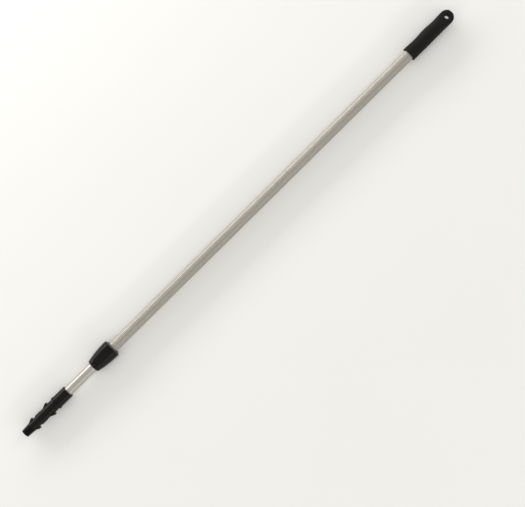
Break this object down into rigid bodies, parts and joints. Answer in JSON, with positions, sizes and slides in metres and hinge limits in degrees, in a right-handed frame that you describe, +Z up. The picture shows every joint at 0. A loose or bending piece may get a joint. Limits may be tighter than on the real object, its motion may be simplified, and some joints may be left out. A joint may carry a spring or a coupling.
{
  "type": "roller extension pole",
  "caption": "Telescoping aluminium pole with a twist lock, a hang-up grip and a threaded quick-release tip with sprung side latches.",
  "frame": {"origin": "centre of the pole's box along X and Y, on the surface that the pole rests on", "axes": "+X along the pole from the threaded tip to the grip, +Z up from the surface, and the latches face +Y and -Y"},
  "size_m": [1.443, 0.0466, 0.041],
  "materials": {
    "outer_aluminium": "satin anodised, fluted",
    "inner_aluminium": "smooth anodised",
    "grip_plastic": "satin moulded",
    "knob_plastic": "satin moulded",
    "tip_plastic": "satin moulded, glass filled",
    "latch_plastic": "satin moulded",
    "black_rubber": "matt",
    "grey_nylon": "matt",
    "natural_nylon": "satin",
    "steel": "zinc plated"
  },
  "bodies": {
    "outer": {"outer_tube": "outer_aluminium", "grip": "grip_plastic", "tube_plug": "grey_nylon", "front_bush": "natural_nylon", "ferrule": "grey_nylon", "ferrule_rivets": "steel", "collet": "natural_nylon"},
    "washer": {"thrust_washer": "steel"},
    "knob": {"knob_shell": "knob_plastic", "knob_core": "grey_nylon", "wiper_seal": "black_rubber"},
    "guide": {"guide_ring": "natural_nylon"},
    "inner": {"inner_tube": "inner_aluminium", "inner_plug": "grey_nylon", "end_bumper": "black_rubber", "tip_body": "tip_plastic", "collar": "tip_plastic", "tip_rivet": "steel", "latch_springs_left": "steel", "latch_springs_right": "steel"},
    "latch_left": {"latch_left": "latch_plastic"},
    "latch_right": {"latch_right": "latch_plastic"}
  },
  "joints": [
    {"name": "telescope", "type": "slide", "parent": "outer", "child": "guide", "axis": [-1, 0, 0], "range_m": [-0.08, 0.89]},
    {"name": "inner_turn", "type": "hinge", "parent": "guide", "child": "inner", "pos_m": [0, 0, 0.02052], "axis": [1, 0, 0], "continuous": true},
    {"name": "knob_travel", "type": "slide", "parent": "outer", "child": "washer", "axis": [-1, 0, 0], "range_m": [0, 0.0024]},
    {"name": "knob_twist", "type": "hinge", "parent": "washer", "child": "knob", "pos_m": [0, 0, 0.02052], "axis": [-1, 0, 0], "range_deg": [0, 270]},
    {"name": "latch_left_press", "type": "slide", "parent": "inner", "child": "latch_left", "axis": [0, -1, 0], "range_m": [0, 0.0044], "stiffness_N_per_m": 1500, "springref_m": -0.003, "deforming": ["latch_springs_left"]},
    {"name": "latch_right_press", "type": "slide", "parent": "inner", "child": "latch_right", "axis": [0, 1, 0], "range_m": [0, 0.0044], "stiffness_N_per_m": 1500, "springref_m": -0.003, "deforming": ["latch_springs_right"]}
  ],
  "couplings": [
    {"joint": "knob_travel", "follows": "knob_twist", "m_per_rad": 0.00047746}
  ]
}
